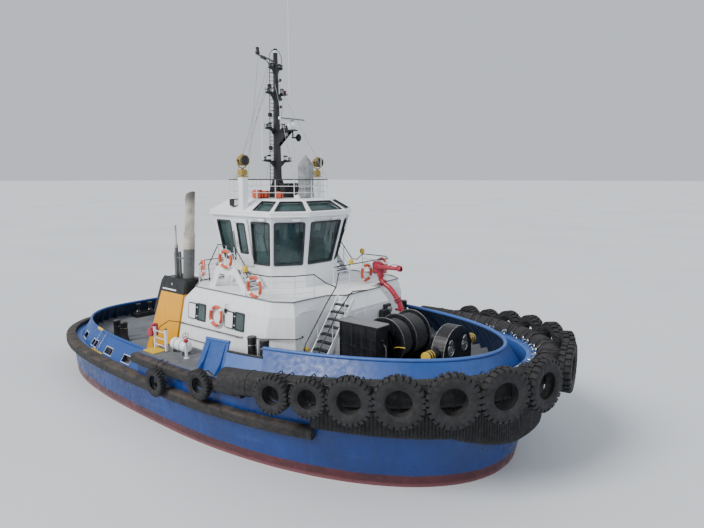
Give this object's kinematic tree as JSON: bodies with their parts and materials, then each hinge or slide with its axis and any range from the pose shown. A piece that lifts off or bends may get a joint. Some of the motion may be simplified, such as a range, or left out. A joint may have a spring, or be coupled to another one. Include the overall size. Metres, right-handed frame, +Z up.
{
  "type": "harbour tugboat with azimuth stern drive",
  "caption": "Harbour tug with a raised foredeck, a bow towing winch and staple, a glazed wheelhouse, tyre and rubber fendering, and azimuth thrusters in nozzles under the stern.",
  "frame": {"origin": "on the centreline at the waterline, amidships", "axes": "+X forward to the bow, +Y to port, +Z up"},
  "size_m": [25.1563, 12.3786, 21.43],
  "materials": {
    "hull_paint": "satin",
    "bottom_paint": "matte",
    "bulwark_paint": "satin",
    "fender_rubber": "matte",
    "tyre_rubber": "matte",
    "house_paint": "satin",
    "rail_paint": "satin",
    "funnel_paint": "satin",
    "exhaust_steel": "brushed",
    "window_glass": "tinted",
    "console_grey": "matte",
    "chair_vinyl": "matte",
    "black_paint": "satin",
    "lamp_paint": "satin",
    "cover_canvas": "matte",
    "raft_shell": "gloss",
    "fire_red": "gloss",
    "propeller_bronze": "polished"
  },
  "bodies": {
    "vessel": {"hull": "hull_paint", "skeg": "bottom_paint", "lower_fender": "fender_rubber", "upper_fender_starboard": "fender_rubber", "upper_fender_port": "fender_rubber", "bow_fender": "fender_rubber", "low_bow_fender": "fender_rubber", "side_tyre_starboard_1": "tyre_rubber", "side_tyre_starboard_2": "tyre_rubber", "side_tyre_port_1": "tyre_rubber", "side_tyre_port_2": "tyre_rubber", "bow_tyres": "tyre_rubber", "aft_bulwark": "bulwark_paint", "fore_bulwark": "bulwark_paint", "deckhouse": "house_paint", "funnel_starboard": "funnel_paint", "funnel_port": "funnel_paint", "exhaust_starboard": "exhaust_steel", "exhaust_port": "exhaust_steel", "wheelhouse_walls": "house_paint", "wheelhouse_roof": "house_paint", "wheelhouse_glass_fore": "window_glass", "wheelhouse_glass_aft": "window_glass", "roof_glass": "window_glass", "helm_console": "console_grey", "helm_chair": "chair_vinyl", "landing_starboard": "house_paint", "landing_port": "house_paint", "bridge_rail_starboard": "rail_paint", "bridge_rail_port": "rail_paint", "bridge_rail_aft": "rail_paint", "roof_rail": "rail_paint", "foredeck_stair": "rail_paint", "mast": "black_paint", "radar_housing": "house_paint", "roof_locker": "black_paint", "covered_compass": "cover_canvas", "winch_frame": "black_paint", "winch_housing": "black_paint", "towing_staple": "black_paint", "bitts_starboard": "black_paint", "bitts_port": "black_paint", "stern_bitts_starboard": "black_paint", "stern_bitts_port": "black_paint", "life_raft_starboard": "raft_shell", "life_raft_port": "raft_shell", "monitor_riser": "fire_red"},
    "deckhouse_door": {"deckhouse_door": "house_paint"},
    "wheelhouse_door_starboard": {"wheelhouse_door_starboard": "house_paint"},
    "wheelhouse_door_port": {"wheelhouse_door_port": "house_paint"},
    "radar_scanner": {"radar_scanner": "house_paint"},
    "searchlight_starboard": {"searchlight_starboard": "lamp_paint"},
    "searchlight_port": {"searchlight_port": "lamp_paint"},
    "winch_drum": {"winch_drum": "black_paint"},
    "monitor_body": {"monitor_body": "fire_red"},
    "monitor_barrel": {"monitor_barrel": "fire_red"},
    "thruster_starboard": {"thruster_starboard": "bottom_paint"},
    "thruster_port": {"thruster_port": "bottom_paint"},
    "propeller_starboard": {"propeller_starboard": "propeller_bronze"},
    "propeller_port": {"propeller_port": "propeller_bronze"}
  },
  "joints": [
    {"name": "deckhouse_door_hinge", "type": "hinge", "parent": "vessel", "child": "deckhouse_door", "pos_m": [-3.945, -1.4, 2.05], "axis": [0, 0, 1], "range_deg": [0, 110]},
    {"name": "wheelhouse_door_starboard_hinge", "type": "hinge", "parent": "vessel", "child": "wheelhouse_door_starboard", "pos_m": [1.252, -1.94442, 5.79282], "axis": [0, -0.1595, 0.9872], "range_deg": [0, 100]},
    {"name": "wheelhouse_door_port_hinge", "type": "hinge", "parent": "vessel", "child": "wheelhouse_door_port", "pos_m": [1.252, 1.94442, 5.79282], "axis": [0, -0.1595, -0.9872], "range_deg": [0, 100]},
    {"name": "radar_scanner_spin", "type": "hinge", "parent": "vessel", "child": "radar_scanner", "pos_m": [1.5, 0, 11.5], "axis": [0, 0, 1], "continuous": true},
    {"name": "searchlight_starboard_train", "type": "hinge", "parent": "vessel", "child": "searchlight_starboard", "pos_m": [0.9, -2.1, 9.4], "axis": [0, 0, 1], "range_deg": [-170, 170]},
    {"name": "searchlight_port_train", "type": "hinge", "parent": "vessel", "child": "searchlight_port", "pos_m": [0.9, 2.1, 9.4], "axis": [0, 0, 1], "range_deg": [-170, 170]},
    {"name": "winch_drum_spin", "type": "hinge", "parent": "vessel", "child": "winch_drum", "pos_m": [7.05, 0, 3.65], "axis": [0, 1, 0], "continuous": true},
    {"name": "monitor_train", "type": "hinge", "parent": "vessel", "child": "monitor_body", "pos_m": [4.7, 1.76, 5.33], "axis": [0, 0, 1], "range_deg": [-60, 110]},
    {"name": "monitor_elevation", "type": "hinge", "parent": "monitor_body", "child": "monitor_barrel", "pos_m": [4.7, 1.545, 5.72], "axis": [0, -1, 0], "range_deg": [-10, 75]},
    {"name": "thruster_starboard_steer", "type": "hinge", "parent": "vessel", "child": "thruster_starboard", "pos_m": [-8.5, -2.35, -3.85], "axis": [0, 0, 1], "continuous": true},
    {"name": "thruster_port_steer", "type": "hinge", "parent": "vessel", "child": "thruster_port", "pos_m": [-8.5, 2.35, -3.85], "axis": [0, 0, 1], "continuous": true},
    {"name": "propeller_starboard_spin", "type": "hinge", "parent": "thruster_starboard", "child": "propeller_starboard", "pos_m": [-8.95, -2.35, -3.85], "axis": [1, 0, 0], "continuous": true},
    {"name": "propeller_port_spin", "type": "hinge", "parent": "thruster_port", "child": "propeller_port", "pos_m": [-8.95, 2.35, -3.85], "axis": [1, 0, 0], "continuous": true}
  ]
}
